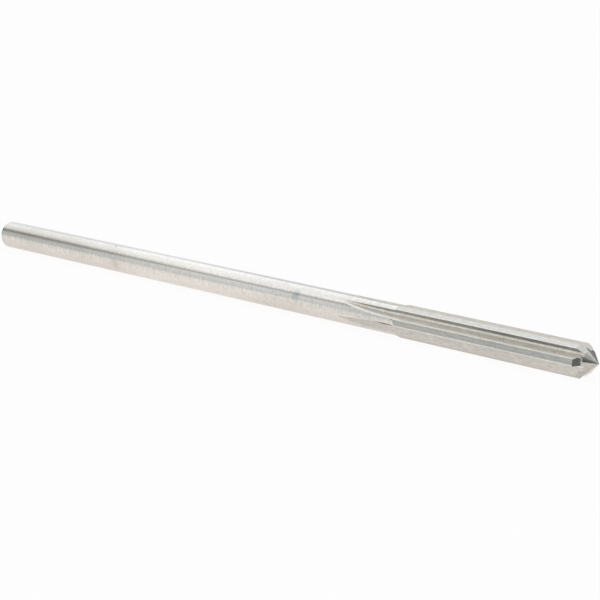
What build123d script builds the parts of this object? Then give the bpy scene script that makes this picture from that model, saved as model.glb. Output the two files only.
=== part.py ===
"""Straight-flute chucking reamer, ground from one bar of steel.

The tool lies on the two land edges beside its lowest flute, with its axis along X
and its cutting end at +X. Lengths are in millimetres and angles in degrees.
"""
import os
from math import acos, asin, atan2, cos, degrees, hypot, radians, sin, sqrt, tan

from build123d import *

# Shank, from its flat chamfered end to the step
overall_length = 88.9
shank_diameter = 3.023
shank_chamfer = 0.12

# Cutting length, from the step to the point, and the short cone that climbs to it
cutting_diameter = 3.25
cutting_length = 23.6
step_cone_length = 0.55

# Flutes: a radial cutting face, a rounded root and a flat back up to the next heel
flute_count = 6
core_diameter = 2.18
flute_root_radius = 0.15
flute_full_length = 24.2
grinding_wheel_radius = 59.0

# Lands: a narrow round margin behind the cutting edge, then a relieved flat
land_width = 0.65
margin_width = 0.11
relief_angle = 14.0

# Bevel lead: a turned cone, then one relieved facet ground into it on each tooth
bevel_angle = 45.0
bevel_relief_angle = 14.0
facet_depth = 0.02

# Male centre on a short neck in front of the teeth
centre_diameter = 2.14
centre_angle = 90.0
neck_length = 0.06
point_radius = 0.06

# Room that the cutters take outside the bar
clearance = 1.0

# Radii
shank_radius = shank_diameter / 2
cutting_radius = cutting_diameter / 2
core_radius = core_diameter / 2
centre_radius = centre_diameter / 2

# Stations along the axis, measured from the shank end
half_centre = radians(centre_angle / 2)
bevel = radians(bevel_angle)
sharp_point_station = overall_length + point_radius / sin(half_centre) - point_radius
centre_station = sharp_point_station - centre_radius / tan(half_centre)
neck_station = centre_station - neck_length
bevel_station = neck_station - (cutting_radius - centre_radius) / tan(bevel)
step_station = overall_length - cutting_length
shank_end_station = step_station - step_cone_length
full_depth_station = overall_length - flute_full_length

# The rounded point touches the cone here
point_centre_station = overall_length - point_radius
point_edge_station = point_centre_station + point_radius * sin(half_centre)
point_edge_radius = point_radius * cos(half_centre)

# Cross-section of one flute, seen from the point: the cutting face lies along local X
tooth_pitch = 360 / flute_count
flute_angle = radians(tooth_pitch) - land_width / cutting_radius
margin_angle = margin_width / cutting_radius
relief = radians(relief_angle)
relief_span = land_width / cutting_radius - margin_angle
heel_radius = cutting_radius * cos(relief) / cos(relief_span - relief)
heel_x = heel_radius * cos(flute_angle)
heel_y = heel_radius * sin(flute_angle)

# The back is the line from the heel that touches the rounded root
root_centre_x = sqrt((core_radius + flute_root_radius) ** 2 - flute_root_radius**2)
root_centre_distance = hypot(root_centre_x - heel_x, flute_root_radius - heel_y)
back_direction = (
    atan2(flute_root_radius - heel_y, root_centre_x - heel_x)
    - asin(flute_root_radius / root_centre_distance)
)
root_corner = (heel_x - heel_y / tan(back_direction), 0)
back_end = (heel_x - clearance * cos(back_direction), heel_y - clearance * sin(back_direction))

# Rest: the line across the lowest flute, from cutting edge to heel, lies level
down_angle = atan2(cutting_radius - heel_x, heel_y)
rest_height = max(shank_radius, cutting_radius * cos(down_angle))
tool_plane = Plane(
    origin=(-overall_length / 2, 0, rest_height),
    x_dir=(0, -sin(down_angle), -cos(down_angle)),
    z_dir=(1, 0, 0),
)

# One flute, ground back from the point, with the wheel's curve at its run-out
cutter_radius = cutting_radius + clearance
wheel_axis = Axis((core_radius + grinding_wheel_radius, 0, full_depth_station), (0, -1, 0))
wheel_depth = cutter_radius - core_radius
wheel_arc = degrees(acos(1 - wheel_depth / grinding_wheel_radius))
with BuildPart() as flute_cutter:
    with BuildSketch(Plane.XY.offset(full_depth_station)) as flute_section:
        with BuildLine():
            Polyline(
                root_corner,
                (cutter_radius, 0),
                (cutter_radius, back_end[1]),
                back_end,
                root_corner,
            )
        make_face()
        fillet(flute_section.vertices().sort_by_distance(root_corner)[0], flute_root_radius)
    extrude(amount=flute_full_length + clearance)
    revolve(flute_section.sketch, axis=wheel_axis, revolution_arc=wheel_arc)

# Relieved flat of the land behind one cutting edge, ground through the step's cone as well
margin_end = (cutting_radius * cos(margin_angle), -cutting_radius * sin(margin_angle))
relief_direction = -margin_angle - radians(90) - relief
relief_end = (
    margin_end[0] + clearance * cos(relief_direction),
    margin_end[1] + clearance * sin(relief_direction),
)
with BuildPart() as relief_cutter:
    with BuildSketch(Plane.XY.offset(shank_end_station)):
        with BuildLine():
            Polyline(
                margin_end,
                relief_end,
                (relief_end[0] + clearance, relief_end[1]),
                (relief_end[0] + clearance, margin_end[1]),
                margin_end,
            )
        make_face()
    extrude(amount=step_cone_length + cutting_length + clearance)

# Bevel facet of one tooth, from its cutting edge towards its heel
facet_relief = radians(bevel_relief_angle)
facet_plane = Plane(
    origin=(cutting_radius, 0, bevel_station - facet_depth / sin(bevel)),
    x_dir=(-sin(bevel), 0, cos(bevel)),
    z_dir=(
        cos(bevel) * cos(facet_relief),
        -sin(facet_relief),
        sin(bevel) * cos(facet_relief),
    ),
)
with BuildPart() as facet_cutter:
    with BuildSketch(facet_plane):
        Rectangle(4 * clearance, 2 * clearance)
    extrude(amount=clearance)

# The turned body ends inside the neck of the centre, which covers its front
body_end_station = neck_station + neck_length / 2
body_end_radius = centre_radius - (body_end_station - neck_station) * tan(bevel)
tool_axis = Axis(tool_plane.origin, tool_plane.z_dir)
profile_plane = Plane(origin=tool_plane.origin, x_dir=tool_plane.z_dir, z_dir=(0, -1, 0))

with BuildPart(tool_plane) as reamer:
    with BuildSketch(profile_plane):
        with BuildLine():
            Polyline(
                (0, 0),
                (0, shank_radius - shank_chamfer),
                (shank_chamfer, shank_radius),
                (shank_end_station, shank_radius),
                (step_station, cutting_radius),
                (bevel_station, cutting_radius),
                (body_end_station, body_end_radius),
                (body_end_station, 0),
                (0, 0),
            )
        make_face()
    revolve(axis=tool_axis)

    # Facets come before the centre, so that they end on its neck
    with PolarLocations(0, flute_count):
        add(facet_cutter.part, mode=Mode.SUBTRACT)
    with BuildSketch(profile_plane):
        with BuildLine():
            Polyline(
                (overall_length, 0),
                (bevel_station, 0),
                (bevel_station, centre_radius),
                (centre_station, centre_radius),
                (point_edge_station, point_edge_radius),
            )
            RadiusArc((point_edge_station, point_edge_radius), (overall_length, 0), point_radius)
        make_face()
    revolve(axis=tool_axis)

    with PolarLocations(0, flute_count):
        add(relief_cutter.part, mode=Mode.SUBTRACT)
    with PolarLocations(0, flute_count):
        add(flute_cutter.part, mode=Mode.SUBTRACT)

reamer.part.label = "reamer"
os.makedirs("parts", exist_ok=True)
export_step(reamer.part, "parts/reamer.step")
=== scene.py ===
"""Straight-flute chucking reamer: its ground steel, the pale floor it lies on, the light and the camera.

The reamer is lofted from rings round its axis. A ring is the cross-section at one station, and
stations run from the shank end to the point. Lengths are in millimetres until they enter the scene.

The tool mirrors its surroundings, so the world and the floor are bands of brightness round it and
along it. The flute's core, root and face differ from the solid's by up to 0.05 mm and the shank's
edge is rounded, so that the reflections fall near where the photograph has them.
"""

from math import asin, atan2, cos, hypot, pi, radians, sin, sqrt, tan

import bmesh
import bpy
import numpy as np
from mathutils import Matrix, Vector


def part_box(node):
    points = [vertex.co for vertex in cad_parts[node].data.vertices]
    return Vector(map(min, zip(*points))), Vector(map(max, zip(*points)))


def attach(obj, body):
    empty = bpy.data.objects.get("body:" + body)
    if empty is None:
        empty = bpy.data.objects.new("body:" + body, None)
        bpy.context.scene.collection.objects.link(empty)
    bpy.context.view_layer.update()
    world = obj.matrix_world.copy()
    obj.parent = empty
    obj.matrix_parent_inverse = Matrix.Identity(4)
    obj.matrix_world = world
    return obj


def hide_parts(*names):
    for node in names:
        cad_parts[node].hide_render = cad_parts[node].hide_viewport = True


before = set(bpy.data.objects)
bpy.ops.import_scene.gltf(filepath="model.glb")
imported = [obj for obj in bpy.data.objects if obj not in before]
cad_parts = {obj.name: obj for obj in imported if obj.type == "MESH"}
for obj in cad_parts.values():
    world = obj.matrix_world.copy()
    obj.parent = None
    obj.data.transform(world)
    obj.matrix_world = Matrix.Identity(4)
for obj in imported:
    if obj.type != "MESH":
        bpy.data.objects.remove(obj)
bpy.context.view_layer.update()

MM = 0.001

# Shank, from its flat end to the step
shank_radius = 3.023 / 2
shank_chamfer = 0.12

# Cutting length and the short cone that climbs to it
cutting_radius = 3.25 / 2
cutting_length = 23.6
step_cone_length = 0.55

# Flutes: a cutting face that leans a little, a rounded root and a flat back up to the next heel
flute_count = 6
core_radius = 2.10 / 2
flute_root_radius = 0.12
face_lean = radians(3.1)
flute_full_length = 24.2
wheel_radius = 59.0

# Lands: a narrow round margin behind the cutting edge, then a relieved flat
land_width = 0.65
margin_width = 0.11
relief = radians(14.0)

# Bevel lead: one relieved facet on each tooth, and the most that it reaches back and round
bevel_relief = radians(14.0)
facet_depth = 0.02
facet_lead = 0.1
facet_span = radians(35)

# Male centre on its short neck
centre_radius = 2.14 / 2
neck_length = 0.06
point_radius = 0.06

# The frame gives the length and the height of the axis
tool_low, tool_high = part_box("reamer")
overall_length = (tool_high.x - tool_low.x) / MM
rest_height = (tool_high.z + tool_low.z) / 2 / MM

# Stations along the axis; the bevel and the male centre both slope at 45 degrees
slope = pi / 4
step_station = overall_length - cutting_length
shank_end_station = step_station - step_cone_length
full_depth_station = overall_length - flute_full_length
sharp_point_station = overall_length + point_radius / sin(slope) - point_radius
centre_station = sharp_point_station - centre_radius
neck_station = centre_station - neck_length
bevel_station = neck_station - (cutting_radius - centre_radius)
facet_station = bevel_station - facet_depth / sin(slope)
point_centre_station = overall_length - point_radius
point_edge_station = point_centre_station + point_radius * sin(slope)

# Angles of one tooth, measured back from its cutting edge
pitch = 2 * pi / flute_count
margin_angle = margin_width / cutting_radius
land_angle = land_width / cutting_radius

# Heel across a flute from its cutting edge, which is on local X; the tool lies on one of each
flute_angle = pitch - land_angle
heel_radius = cutting_radius * cos(relief) / cos(land_angle - margin_angle - relief)
heel_x = heel_radius * cos(flute_angle)
heel_y = heel_radius * sin(flute_angle)
down_angle = atan2(cutting_radius - heel_x, heel_y)

# The centre of the flute's root is one root radius off the cutting face and off the core
beside_edge_x = cutting_radius + flute_root_radius * sin(face_lean)
beside_edge_y = flute_root_radius * cos(face_lean)
to_middle = beside_edge_x * cos(face_lean) - beside_edge_y * sin(face_lean)
past_core = (core_radius + flute_root_radius) ** 2 - beside_edge_x**2 - beside_edge_y**2
face_depth = to_middle - sqrt(to_middle**2 + past_core)
root_x = beside_edge_x - face_depth * cos(face_lean)
root_y = beside_edge_y + face_depth * sin(face_lean)

# The flute's back is the line from the heel that touches the root
heel_to_root = hypot(root_x - heel_x, root_y - heel_y)
back_direction = atan2(root_y - heel_y, root_x - heel_x) - asin(flute_root_radius / heel_to_root)
back_length = sqrt(heel_to_root**2 - flute_root_radius**2)
back_x = heel_x + back_length * cos(back_direction)
back_y = heel_y + back_length * sin(back_direction)

# Points on the flute's outline, which goes on past the cutting edge and past the heel
face_points = 200
root_points = 200
back_points = 400
back_overrun = 1.6

# Even cells round one pitch of a ring, to which thin ones beside the edges are added, and how many
# times the face's depth and the back's length the samples reach, to pass the cutting edge and heel
face_cells = 5
root_cells = 11
back_cells = 7
relief_cells = 12
margin_cells = 6
past_edge = 1.02
past_heel = 1.01

# Rings along each stretch of the tool
shank_edge_rings = 9
shank_rings = 18
run_out_rings = 45
step_cone_rings = 24
land_rings = 14
bevel_rings = 70
neck_rings = 3
cone_rings = 10
point_rings = 6

# Steps between a ring on an edge and the next, which hold the shading there
edge_step = 0.03
fine_step = 0.01

# The plain shank's rings: the first one's station, and the gap from the last one to the run-outs,
# whose own rings crowd toward their tips
plain_start = 2.0
plain_gap = 0.2
run_out_crowding = 1.6

# Differences that count as none, how often a search is halved, and the sharpest smooth bend
least_depth = 1e-7
same_radius = 1e-9
merge_distance = 2e-4
least_edge = 1e-5
halvings = 40
smooth_angle = radians(24)

# Ground surfaces, each with its own finish; the face's darker finish is painted shade and the root's
# lighter one a painted highlight
ROUND, RELIEF, BEVEL, CENTRE, FACE, ROOT, BACK = range(7)


# Outline without the flutes

def body_radius(station):
    """Radius of the turned body, without the male centre."""
    if station < shank_chamfer:
        return shank_radius - shank_chamfer + sqrt(shank_chamfer**2 - (shank_chamfer - station) ** 2)
    if station < shank_end_station:
        return shank_radius
    if station < step_station:
        share = (station - shank_end_station) / step_cone_length
        return shank_radius + share * (cutting_radius - shank_radius)
    return cutting_radius - max(0.0, station - bevel_station)


def male_centre_radius(station):
    """Radius of the neck, cone and rounded point; zero behind the bevel."""
    if station < bevel_station:
        return 0.0
    if station < point_edge_station:
        return min(centre_radius, sharp_point_station - station)
    return sqrt(max(0.0, point_radius**2 - (station - point_centre_station) ** 2))


def relieved_radius(behind):
    """Radius of a land's relieved flat at an angle behind the cutting edge."""
    return cutting_radius * cos(relief) / np.cos(behind - margin_angle - relief)


def facet_radius(behind, station):
    """Radius of a bevel facet at an angle behind the cutting edge."""
    at_edge = cutting_radius - (station - facet_station)
    return at_edge / (np.cos(behind) + tan(bevel_relief) / cos(slope) * np.sin(behind))


def outline_radius(angle, station):
    """Radius of the unfluted outline; angle is measured from the flute's cutting face."""
    behind = pitch - np.asarray(angle, dtype=float)
    radius = np.full_like(behind, body_radius(station))
    if station >= shank_end_station:
        relieved = np.minimum(radius, relieved_radius(behind))
        radius = np.where(behind > margin_angle, relieved, radius)
    if station > facet_station - facet_lead:
        faceted = np.minimum(radius, facet_radius(behind, station))
        radius = np.where(behind < facet_span, faceted, radius)
    return np.maximum(radius, male_centre_radius(station))


def outline_surface(angle, station):
    """The ground surface that forms the unfluted outline there."""
    behind = pitch - angle
    radius = float(outline_radius(angle, station))
    if radius <= male_centre_radius(station) + same_radius:
        return CENTRE
    if station > facet_station - facet_lead and behind < facet_span:
        if facet_radius(behind, station) <= radius + same_radius:
            return BEVEL
    if station >= shank_end_station and behind > margin_angle:
        if relieved_radius(behind) < body_radius(station):
            return RELIEF
    return ROUND


# Outline of one flute

def flute_section():
    """Points down the cutting face, round the root and up the back."""
    down = np.linspace(-face_depth, face_depth, face_points)
    face = [cutting_radius - down * cos(face_lean), down * sin(face_lean)]
    turn = np.linspace(-pi / 2 - face_lean, back_direction - pi / 2, root_points)[1:]
    root = [root_x + flute_root_radius * np.cos(turn), root_y + flute_root_radius * np.sin(turn)]
    up = np.linspace(0, back_overrun * back_length, back_points)[1:]
    back = [back_x - up * cos(back_direction), back_y - up * sin(back_direction)]
    return np.concatenate([face, root, back], axis=1).T


def spread(start, end, cells, edge=0.06):
    """Samples from start to end, with one more close to each end to hold the shading there."""
    even = np.linspace(0, 1, cells + 1)[1:-1] * (1 - edge) + edge / 2
    return start + (end - start) * np.concatenate([[0, edge / 2], even, [1 - edge / 2, 1]])


section = flute_section()
section_run = np.concatenate([[0], np.cumsum(np.hypot(*np.diff(section, axis=0).T))])
face_end_x = section[face_points - 1][0]
face_run = section_run[face_points - 1]
root_run = section_run[face_points + root_points - 2]
back_run = (section_run[-1] - root_run) / back_overrun

# Samples of a ring: runs along the flute's outline, then shares of the land from heel to edge
face_samples = spread(face_run - (cutting_radius - face_end_x) * past_edge, face_run, face_cells)
root_samples = np.linspace(face_run, root_run, root_cells + 1)[1:-1]
back_samples = spread(root_run, root_run + back_run * past_heel, back_cells)
flute_samples = np.concatenate([face_samples, root_samples, back_samples])
margin_start = 1 - margin_width / land_width
relief_samples = spread(0, margin_start, relief_cells)[1:]
margin_samples = spread(margin_start, 1, margin_cells)[1:-1]
land_samples = np.concatenate([relief_samples, margin_samples])


def flute_points(station):
    """The flute's outline at a station, lifted by the wheel's curve where the flute runs out."""
    # Half the wheel's radius back, the flute is far outside the shank, and the curve stops there
    back = min(max(0.0, full_depth_station - station), wheel_radius / 2)
    wheel_centre = core_radius + wheel_radius
    lifted = wheel_centre - np.sqrt((wheel_centre - section[:, 0]) ** 2 - back**2)
    return np.stack([lifted, section[:, 1]], -1)


def crossing(depth, number):
    """Where depth changes sign after a point, as a fractional point number."""
    return number + depth[number] / (depth[number] - depth[number + 1])


def flute_outline(station):
    """Angles and radii of the flute's samples at a station, all alike where there is no flute."""
    points = flute_points(station)
    angles = np.arctan2(points[:, 1], points[:, 0])
    depth = outline_radius(angles, station) - np.hypot(points[:, 0], points[:, 1])
    inside = np.nonzero(depth > least_depth)[0]
    if len(inside) < 2:
        angles = np.full(len(flute_samples), angles[np.argmax(depth)])
        return angles, outline_radius(angles, station)
    numbers = np.arange(len(points))
    where = np.interp(flute_samples, section_run, numbers)
    where = np.clip(where, crossing(depth, inside[0] - 1), crossing(depth, inside[-1]))
    xs = np.interp(where, numbers, points[:, 0])
    ys = np.interp(where, numbers, points[:, 1])
    return np.arctan2(ys, xs), np.hypot(xs, ys)


# Rings and the mesh

def ring(station):
    """Angles and radii of one pitch at a station: the flute, then the land behind it."""
    angles, radii = flute_outline(station)
    land = angles[-1] + (pitch + angles[0] - angles[-1]) * land_samples
    folded = np.where(land > pitch, land - pitch, land)
    return np.concatenate([angles, land]), np.concatenate([radii, outline_radius(folded, station)])


def ring_surfaces(angles, station):
    """The ground surface of each cell of one pitch."""
    surfaces = [FACE] * (len(face_samples) - 1) + [ROOT] * root_cells + [BACK] * (len(back_samples) - 1)
    ends = np.append(angles, angles[0] + pitch)
    for middle in (ends[:-1] + ends[1:])[len(surfaces):] / 2:
        surfaces.append(outline_surface(middle if middle < pitch else middle - pitch, station))
    return surfaces


def run_out_station():
    """Station where the flutes end on the shank, found by halving."""
    low, high = 0.0, full_depth_station
    for _ in range(halvings):
        middle = (low + high) / 2
        if np.hypot(*flute_points(middle).T).min() < shank_radius:
            high = middle
        else:
            low = middle
    return high


def stations():
    """Stations of the rings, close together where the form changes."""
    run_out = run_out_station()
    shank_edge_turn = np.linspace(0, pi / 2, shank_edge_rings)
    run_out_shares = np.linspace(0, 1, run_out_rings) ** run_out_crowding
    point_turn = np.linspace(slope, pi / 2, point_rings)[:-1]
    stretches = [
        shank_chamfer * (1 - np.cos(shank_edge_turn)),
        [shank_chamfer + edge_step],
        np.linspace(plain_start, run_out - plain_gap, shank_rings),
        run_out + (full_depth_station - run_out) * run_out_shares,
        np.linspace(shank_end_station, step_station, step_cone_rings),
        np.linspace(step_station + edge_step, facet_station - facet_lead, land_rings),
        np.linspace(facet_station - 2 * edge_step, neck_station + fine_step, bevel_rings),
        np.linspace(neck_station + 1.5 * fine_step, centre_station, neck_rings),
        np.linspace(centre_station + fine_step, point_edge_station, cone_rings),
        point_centre_station + point_radius * np.sin(point_turn),
    ]
    # Rounded to a millionth, so that stations that two stretches share are one
    return sorted({float(round(station, 6)) for stretch in stretches for station in stretch})


def tool_to_world(station, x, y):
    """A point of the tool's own frame in the row frame, in metres."""
    across = -sin(down_angle) * x + cos(down_angle) * y
    above = rest_height - cos(down_angle) * x - sin(down_angle) * y
    return ((station - overall_length / 2) * MM, across * MM, above * MM)


def ground_mesh():
    """The rings joined by faces and closed at both ends, with the ground surface of each face."""
    places = stations()
    rings = [ring(station) for station in places]
    verts = [
        tool_to_world(station, radius * cos(angle), radius * sin(angle))
        for station, (angles, radii) in zip(places, rings)
        for turn in range(flute_count)
        for angle, radius in zip(angles + turn * pitch, radii)
    ]
    faces, surfaces = [], []
    count = flute_count * len(rings[0][0])
    for number in range(len(places) - 1):
        low, high = number * count, (number + 1) * count
        for corner in range(count):
            following = (corner + 1) % count
            faces.append((low + corner, low + following, high + following, high + corner))
        middle = (places[number] + places[number + 1]) / 2
        surfaces += ring_surfaces(rings[number][0], middle) * flute_count
    for start, end, surface in ((0, 0.0, ROUND), (len(verts) - count, overall_length, CENTRE)):
        faces += [(len(verts), start + corner, start + (corner + 1) % count) for corner in range(count)]
        surfaces += [surface] * count
        verts.append(tool_to_world(end, 0.0, 0.0))
    mesh = bpy.data.meshes.new("reamer_ground")
    mesh.from_pydata(verts, [], faces)
    return mesh, surfaces


def tidy_mesh(mesh):
    """Merge the points that fall together, turn all faces outward and shade them smooth."""
    work = bmesh.new()
    work.from_mesh(mesh)
    bmesh.ops.remove_doubles(work, verts=work.verts, dist=merge_distance * MM)
    bmesh.ops.dissolve_degenerate(work, edges=work.edges, dist=least_edge * MM)
    bmesh.ops.recalc_face_normals(work, faces=work.faces)
    work.to_mesh(mesh)
    work.free()
    for polygon in mesh.polygons:
        polygon.use_smooth = True
    mesh.set_sharp_from_angle(angle=smooth_angle)


def make_reamer():
    """The whole tool as one lofted mesh in its ground finishes."""
    mesh, surfaces = ground_mesh()
    for finish in ground_steel():
        mesh.materials.append(finish)
    mesh.polygons.foreach_set("material_index", surfaces)
    mesh.validate()
    tidy_mesh(mesh)
    piece = bpy.data.objects.new("reamer_ground", mesh)
    bpy.context.scene.collection.objects.link(piece)
    return piece


# Shader nodes

def set_input(tree, socket, value):
    """Set a socket to a value, or link it where the value is another node's output."""
    if isinstance(value, bpy.types.NodeSocket):
        tree.links.new(value, socket)
    elif value is not None:
        socket.default_value = value


def node(tree, kind, *values, **named):
    """A shader node with its inputs set in their order, or by name with _ for a space.

    None leaves an input as it is.
    """
    made = tree.nodes.new(kind)
    for socket, value in zip(made.inputs, values):
        set_input(tree, socket, value)
    for name, value in named.items():
        set_input(tree, made.inputs[name.replace("_", " ")], value)
    return made


def math_node(tree, operation, *values):
    """The result of one operation on numbers."""
    made = node(tree, "ShaderNodeMath", *values)
    made.operation = operation
    return made.outputs[0]


def vector_node(tree, operation, *values):
    """The result of one operation on vectors."""
    made = node(tree, "ShaderNodeVectorMath", *values)
    made.operation = operation
    return made.outputs["Value" if operation == "DISTANCE" else "Vector"]


def map_range(tree, value, low, high, to_low=0.0, to_high=1.0):
    """A value of the range from low to high, carried over to another range and held within it."""
    return node(tree, "ShaderNodeMapRange", value, low, high, to_low, to_high).outputs[0]


def mix_values(tree, share, first, second):
    """A value between two others."""
    return node(tree, "ShaderNodeMix", share, None, first, second).outputs[0]


def mix_colours(tree, share, first, second):
    """A colour between two others."""
    mix = node(tree, "ShaderNodeMix", share)
    mix.data_type = "RGBA"
    # The inputs for colours come after those for numbers and vectors
    for socket, colour in zip(mix.inputs[6:8], (first, second)):
        socket.default_value = (*colour, 1)
    return mix.outputs[2]


def mix_shaders(tree, share, first, second):
    """A mixture of two shaders."""
    return node(tree, "ShaderNodeMixShader", share, first, second).outputs[0]


def by_stops(tree, value, stops):
    """A level that runs straight between stops, each a value and the level there."""
    low, high = stops[0][0], stops[-1][0]
    ramp = node(tree, "ShaderNodeValToRGB", map_range(tree, value, low, high))
    elements = ramp.color_ramp.elements
    while len(elements) < len(stops):
        elements.new(0.5)
    # A ramp's colours end at 1, so the levels are halved in it and doubled after it
    for element, (place, level) in zip(elements, stops):
        element.position = (place - low) / (high - low)
        element.color = (level / 2, level / 2, level / 2, 1)
    return math_node(tree, "MULTIPLY", ramp.outputs["Color"], 2.0)


# Ground steel

# The middle part of a noise texture, which holds nearly all its values
noise_middle = (0.3, 0.7)

# Soft clouds over the steel: how many to a metre, the tones between them and the change of polish
cloud_scale = 140.0
cloud_tones = (0.95, 1.04)
polish_change = 0.15

# Grinding lines round the tool, along it and without direction: how many to a metre on each axis
round_lines = (4500.0, 2200.0, 2200.0)
long_lines = (1600.0, 5500.0, 5500.0)
facet_lines = (5000.0, 5000.0, 5000.0)
line_strength = 0.25

# Marks in the finish, and two painted dark reflections: centre in the row frame, stretch along the tool,
# radii at which the mark begins and ends to fade, and its colour over that of the steel
marks_and_painted_reflections = {
    "dark speck": ((-23.5, -0.55, 2.93), 1.0, 0.10, 0.17, (0.35, 0.35, 0.35)),
    "bluish smudge": ((6.9, -1.37, 2.15), 1.0, 0.15, 0.75, (0.70, 0.75, 0.79)),
    "brownish smudge": ((-22.5, -1.47, 1.20), 1.0, 0.10, 0.85, (0.84, 0.81, 0.77)),
    # A painted dark reflection in the lower flute at its run-out
    "painted dark reflection at a run-out": ((19.6, -1.49, 1.25), 12.0, 0.07, 0.16, (0.24, 0.15, 0.13)),
    # A painted dark reflection on the rounded edge of the shank end
    "painted dark reflection on the shank end's edge": ((-44.45, -1.24, 2.32), 1.0, 0.14, 0.30, (0.02, 0.05, 0.06)),
}


def mark_colour(tree, place, centre, stretch, inner, outer, colour):
    """White, but the mark's colour inside an ellipsoid that is stretched along the tool; two of the
    marks are painted dark reflections.
    """
    squeeze = (1 / stretch, 1.0, 1.0)
    squeezed = vector_node(tree, "MULTIPLY", place, squeeze)
    middle = [length * MM * share for length, share in zip(centre, squeeze)]
    away = vector_node(tree, "DISTANCE", squeezed, middle)
    clear = map_range(tree, away, inner * MM, outer * MM)
    return mix_colours(tree, clear, colour, (1, 1, 1))


def ground_finish(name, colour, roughness, lines, contrast, depth):
    """Ground steel with fine grinding lines, soft clouds of tone and polish, the marks and two painted
    dark reflections.
    """
    material = bpy.data.materials.new(name)
    material.use_nodes = True
    tree = material.node_tree
    shader = tree.nodes["Principled BSDF"]
    shader.inputs["Metallic"].default_value = 1.0
    place = tree.nodes.new("ShaderNodeTexCoord").outputs["Object"]
    drawn_out = node(tree, "ShaderNodeMapping", Vector=place, Scale=lines).outputs[0]
    fine = node(tree, "ShaderNodeTexNoise", Vector=drawn_out, Scale=1.0, Detail=4.0, Roughness=0.6)
    clouds = node(tree, "ShaderNodeTexNoise", Vector=place, Scale=cloud_scale, Detail=2.0, Roughness=0.5)
    grain, cloud = fine.outputs["Fac"], clouds.outputs["Fac"]
    cloud_tone = map_range(tree, cloud, *noise_middle, *cloud_tones)
    line_tone = map_range(tree, grain, *noise_middle, 1 - contrast, 1 + contrast)
    tint = vector_node(tree, "MULTIPLY", colour, math_node(tree, "MULTIPLY", cloud_tone, line_tone))
    for mark in marks_and_painted_reflections.values():
        tint = vector_node(tree, "MULTIPLY", tint, mark_colour(tree, place, *mark))
    smoothest, roughest = roughness * (1 - polish_change), roughness * (1 + polish_change)
    polish = map_range(tree, cloud, *noise_middle, smoothest, roughest)
    bump = node(tree, "ShaderNodeBump", Height=grain, Strength=line_strength, Distance=depth)
    set_input(tree, shader.inputs["Base Color"], tint)
    set_input(tree, shader.inputs["Roughness"], polish)
    set_input(tree, shader.inputs["Normal"], bump.outputs[0])
    return material


def ground_steel():
    """The finishes of the ground surfaces, in the order of their numbers. The face's colour is darkened
    as painted shade and the root's is lightened as a painted highlight, for the dark and bright lines in
    the flute.

    Each has a name, colour, roughness, grinding lines, their contrast and their depth in metres.
    """
    return [
        ground_finish("ground_round", (0.722, 0.722, 0.71), 0.12, round_lines, 0.13, 2e-6),
        ground_finish("ground_relief", (0.515, 0.525, 0.508), 0.17, long_lines, 0.12, 3e-6),
        ground_finish("ground_bevel", (0.56, 0.56, 0.55), 0.08, facet_lines, 0.16, 1e-6),
        ground_finish("ground_centre", (0.56, 0.57, 0.55), 0.14, facet_lines, 0.12, 2e-6),
        # Face darker and root lighter: painted shade and a painted highlight for the dark and bright
        # lines in the flute
        ground_finish("ground_face_painted_shade", (0.77, 0.75, 0.705), 0.06, long_lines, 0.12, 2e-6),
        ground_finish("ground_root_painted_highlight", (0.91, 0.89, 0.85), 0.26, long_lines, 0.12, 2e-6),
        ground_finish("ground_back", (0.65, 0.65, 0.625), 0.26, long_lines, 0.12, 2e-6),
    ]


# Studio

# A direction has a turn round the tool, in degrees from the front horizon over the top to the
# back one, and a share x along it, positive toward the point. Its lean is x without the sign.
# The stops of the bands and of the dimming are a turn and the level there.
middle_bands = [
    (0, 0.80), (6, 0.76), (16, 0.82), (26, 0.86), (35, 0.84), (38, 0.75), (40, 0.52),
    (45, 0.50), (48, 0.80), (56, 1.03), (66, 1.12), (80, 1.14), (100, 1.17), (118, 1.24),
    (126, 1.22), (133, 1.12), (140, 0.93), (147, 0.77), (155, 0.74), (162, 0.80), (180, 1.0),
]
shank_end_bands = [
    (0, 0.68), (6, 0.63), (16, 0.61), (26, 0.60), (32, 0.52), (37, 0.38), (41, 0.32),
    (51, 0.31), (57, 0.45), (63, 0.70), (68, 0.84), (76, 0.93), (90, 1.02), (103, 1.07),
    (118, 1.10), (128, 1.07), (140, 0.93), (150, 0.85), (158, 0.86), (180, 1.0),
]
point_end_bands = [
    (0, 0.74), (20, 0.65), (31, 0.82), (36, 0.18), (48, 0.11), (52, 0.52), (57, 1.65),
    (65, 1.60), (72, 0.80), (90, 1.08), (108, 1.22), (115, 1.44), (127, 1.28), (132, 0.32),
    (141, 0.25), (146, 0.76), (152, 0.96), (165, 1.15), (180, 1.20),
]

# Leans between which the bands of an end take over from those of the middle
shank_end_leans = (0.748, 0.803)
point_end_leans = (0.703, 0.674)

# The studio isn't even along the tool: stops of lean and level
unevenness = [
    (0.70, 0.86), (0.715, 1.05), (0.73, 0.94), (0.744, 1.12),
    (0.765, 1.12), (0.777, 1.05), (0.796, 0.97), (0.81, 1.03),
]

# The dark line over the shank ends before the flutes: leans and the level that fills it there
line_end_leans = (0.738, 0.716)
line_end_level = 0.68

# Beyond the shank's end the studio is darker
beyond_leans = (0.83, 0.88)
beyond_dimming = [(0, 0.55), (15, 0.3), (80, 0.3), (110, 0.7), (180, 0.7)]

# A dark camera stands over the point's end: shares x between which it sets in
camera_shares = (0.12, 0.62)
camera_dimming = [
    (0, 0.20), (10, 0.20), (24, 0.28), (42, 0.41), (60, 0.49), (78, 0.55),
    (93, 0.60), (107, 0.60), (121, 0.50), (133, 0.85), (150, 1.0), (180, 1.0),
]

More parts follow.
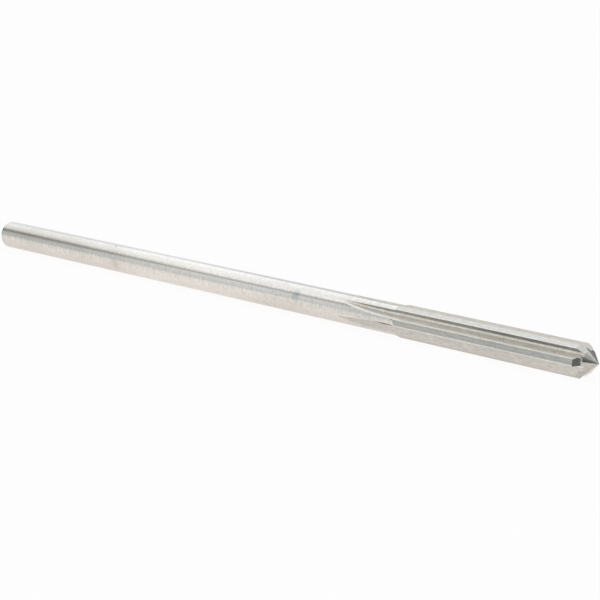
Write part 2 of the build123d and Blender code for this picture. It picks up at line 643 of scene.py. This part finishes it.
# A dark stand is behind the tool: the share x of its middle, and how far to the sides it fades
stand_middle = -0.06
stand_sides = (0.26, 0.18)
stand_dimming = [(0, 1.0), (142, 1.0), (150, 0.26), (176, 0.22), (180, 0.5)]

# Warmer in front than behind, most of all beyond the shank's end: turns between which the warmth
# sets in, its least share and its colour
warm_turns = (130, 76)
least_warmth = 0.45
warm_tint = (1, 0.975, 0.915)


def studio_bands(tree, lean, turn):
    """The long bands of light and dark along the tool."""
    to_shank_end = map_range(tree, lean, *shank_end_leans)
    middle, shank_end = by_stops(tree, turn, middle_bands), by_stops(tree, turn, shank_end_bands)
    level = mix_values(tree, to_shank_end, middle, shank_end)
    level = math_node(tree, "MULTIPLY", level, by_stops(tree, lean, unevenness))
    fill = map_range(tree, lean, *line_end_leans, 0.0, line_end_level)
    level = math_node(tree, "MAXIMUM", level, fill)
    to_point_end = map_range(tree, lean, *point_end_leans)
    return mix_values(tree, to_point_end, level, by_stops(tree, turn, point_end_bands))


def studio_level(tree, x, turn):
    """Brightness of the studio: its bands, dimmed by what stands in it."""
    lean = math_node(tree, "ABSOLUTE", x)
    off_stand = math_node(tree, "ABSOLUTE", math_node(tree, "SUBTRACT", x, stand_middle))
    level = studio_bands(tree, lean, turn)
    for value, limits, dimming in (
        (lean, beyond_leans, beyond_dimming),
        (x, camera_shares, camera_dimming),
        (off_stand, stand_sides, stand_dimming),
    ):
        share = map_range(tree, value, *limits)
        dimmed = mix_values(tree, share, 1.0, by_stops(tree, turn, dimming))
        level = math_node(tree, "MULTIPLY", level, dimmed)
    return level


def studio_tint(tree, x, turn):
    """Colour of the studio's light."""
    lean = math_node(tree, "ABSOLUTE", x)
    warmth = map_range(tree, lean, *shank_end_leans, least_warmth, 1.0)
    share = math_node(tree, "MULTIPLY", map_range(tree, turn, *warm_turns), warmth)
    return mix_colours(tree, share, (1, 1, 1), warm_tint)


def make_world():
    """The studio all round the tool, and plain white where the camera looks past the floor."""
    world = bpy.data.worlds.new("studio")
    bpy.context.scene.world = world
    world.use_nodes = True
    tree = world.node_tree
    tree.nodes.clear()
    direction = tree.nodes.new("ShaderNodeTexCoord").outputs["Generated"]
    x, y, z = node(tree, "ShaderNodeSeparateXYZ", direction).outputs
    ahead = math_node(tree, "MULTIPLY", y, -1.0)
    turn = math_node(tree, "MULTIPLY", math_node(tree, "ARCTAN2", z, ahead), 180 / pi)
    light = node(tree, "ShaderNodeBackground", studio_tint(tree, x, turn), studio_level(tree, x, turn))
    white = node(tree, "ShaderNodeBackground", (1, 1, 1, 1), 1.0)
    seen = tree.nodes.new("ShaderNodeLightPath").outputs["Is Camera Ray"]
    node(tree, "ShaderNodeOutputWorld", mix_shaders(tree, seen, light.outputs[0], white.outputs[0]))


# Floor

floor_size = 3000.0
floor_grey = 0.93
floor_roughness = 0.9

# The camera sees nearly white, with only a little of the shaded floor
floor_white = 0.997
floor_white_share = 0.95

# The tool mirrors the floor warmer close by than further off: distances to its sides, and tones
floor_distances = (4, 40)
floor_tone_near = (0.99, 0.922, 0.865)
floor_tone_far = (0.745, 0.765, 0.76)

# A painted shadow in front of where the tool touches it, and painted light behind the point's end: stops
# of place across and level by the shank and by the point, and where along the tool one takes over
painted_floor_shade_by_shank = [(-2, 1.0), (-0.4, 0.87), (-0.11, 0.87), (0.09, 1.18), (0.67, 1.05), (1.11, 1.0)]
painted_floor_shade_by_point = [(-2, 1.0), (-0.4, 0.87), (-0.11, 0.87), (0.09, 1.18), (2, 1.30)]
floor_point_places = (-5, 10)

# It isn't even along the tool: stops of place along and level
floor_along = [(-50, 0.97), (-23.3, 0.98), (-16.7, 1.07), (-5.6, 1.08), (1.7, 0.94), (50, 1.0)]


def floor_mirrored(tree):
    """The floor as the tool mirrors it: a glow seen only in reflections, with a painted shadow and
    painted light in it.
    """
    place = tree.nodes.new("ShaderNodeTexCoord").outputs["Object"]
    in_millimetres = vector_node(tree, "MULTIPLY", place, (1 / MM, 1 / MM, 1 / MM))
    along, across, _ = node(tree, "ShaderNodeSeparateXYZ", in_millimetres).outputs
    # Painted shadow in front of where the tool touches the floor, and painted light behind the point's
    # end
    shade_by_shank, shade_by_point = by_stops(tree, across, painted_floor_shade_by_shank), by_stops(tree, across, painted_floor_shade_by_point)
    near_point = map_range(tree, along, *floor_point_places)
    level = mix_values(tree, near_point, shade_by_shank, shade_by_point)
    level = math_node(tree, "MULTIPLY", level, by_stops(tree, along, floor_along))
    further = map_range(tree, math_node(tree, "ABSOLUTE", across), *floor_distances)
    tone = mix_colours(tree, further, floor_tone_near, floor_tone_far)
    return node(tree, "ShaderNodeEmission", tone, level).outputs[0]


def floor_finish():
    """Nearly white to the camera, and in the tool's reflections a glow in bands, with a painted shadow
    and painted light.
    """
    material = bpy.data.materials.new("floor")
    material.use_nodes = True
    tree = material.node_tree
    shaded = tree.nodes["Principled BSDF"]
    shaded.inputs["Base Color"].default_value = (floor_grey, floor_grey, floor_grey, 1)
    shaded.inputs["Roughness"].default_value = floor_roughness
    shaded.inputs["Specular IOR Level"].default_value = 0.0
    white = node(tree, "ShaderNodeEmission", (floor_white, floor_white, floor_white, 1), 1.0)
    plain = mix_shaders(tree, floor_white_share, shaded.outputs[0], white.outputs[0])
    mirrored = tree.nodes.new("ShaderNodeLightPath").outputs["Is Glossy Ray"]
    surface = mix_shaders(tree, mirrored, plain, floor_mirrored(tree))
    set_input(tree, tree.nodes["Material Output"].inputs["Surface"], surface)
    return material


def make_floor():
    """A plain pale floor."""
    half = floor_size / 2 * MM
    corners = [(-half, -half, 0), (half, -half, 0), (half, half, 0), (-half, half, 0)]
    mesh = bpy.data.meshes.new("floor")
    mesh.from_pydata(corners, [], [(0, 1, 2, 3)])
    mesh.materials.append(floor_finish())
    floor = bpy.data.objects.new("floor", mesh)
    bpy.context.scene.collection.objects.link(floor)


# Camera

# The camera of the photograph, found from the tool's outline and reflections in it
camera_azimuth = radians(47.386)
camera_elevation = radians(11.9)
camera_roll = radians(-0.111)
camera_distance = 209.784

# Where the tool's middle lies to the right of and above the middle of the view
middle_right = -4.058
middle_up = 1.094

# Focal length in pixels of the photograph, its width, and the sensor that stands for it
focal_pixels = 2040.44
photo_pixels = 600
sensor_width = 36.0

# What the camera sees lies between these distances
nearest = 5.0
furthest = 20000.0


def make_camera():
    """The camera, turned and placed so that the tool lies in the view as in the photograph."""
    level_share = cos(camera_elevation)
    back = Vector((
        sin(camera_azimuth) * level_share,
        -cos(camera_azimuth) * level_share,
        sin(camera_elevation),
    ))
    level_right = Vector((cos(camera_azimuth), sin(camera_azimuth), 0))
    level_up = back.cross(level_right)
    right = cos(camera_roll) * level_right + sin(camera_roll) * level_up
    up = -sin(camera_roll) * level_right + cos(camera_roll) * level_up
    tool_middle = Vector((0, 0, rest_height))
    place = tool_middle + camera_distance * back - middle_right * right - middle_up * up
    data = bpy.data.cameras.new("camera")
    data.sensor_width = sensor_width
    data.lens = sensor_width * focal_pixels / photo_pixels
    data.clip_start = nearest * MM
    data.clip_end = furthest * MM
    camera = bpy.data.objects.new("camera", data)
    bpy.context.scene.collection.objects.link(camera)
    turn = Matrix((right, up, back)).transposed()
    camera.matrix_world = Matrix.Translation(place * MM) @ turn.to_4x4()
    bpy.context.scene.camera = camera


bpy.context.scene.view_settings.view_transform = "Standard"
make_camera()
reamer = make_reamer()
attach(reamer, "root")
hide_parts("reamer")
make_world()
make_floor()
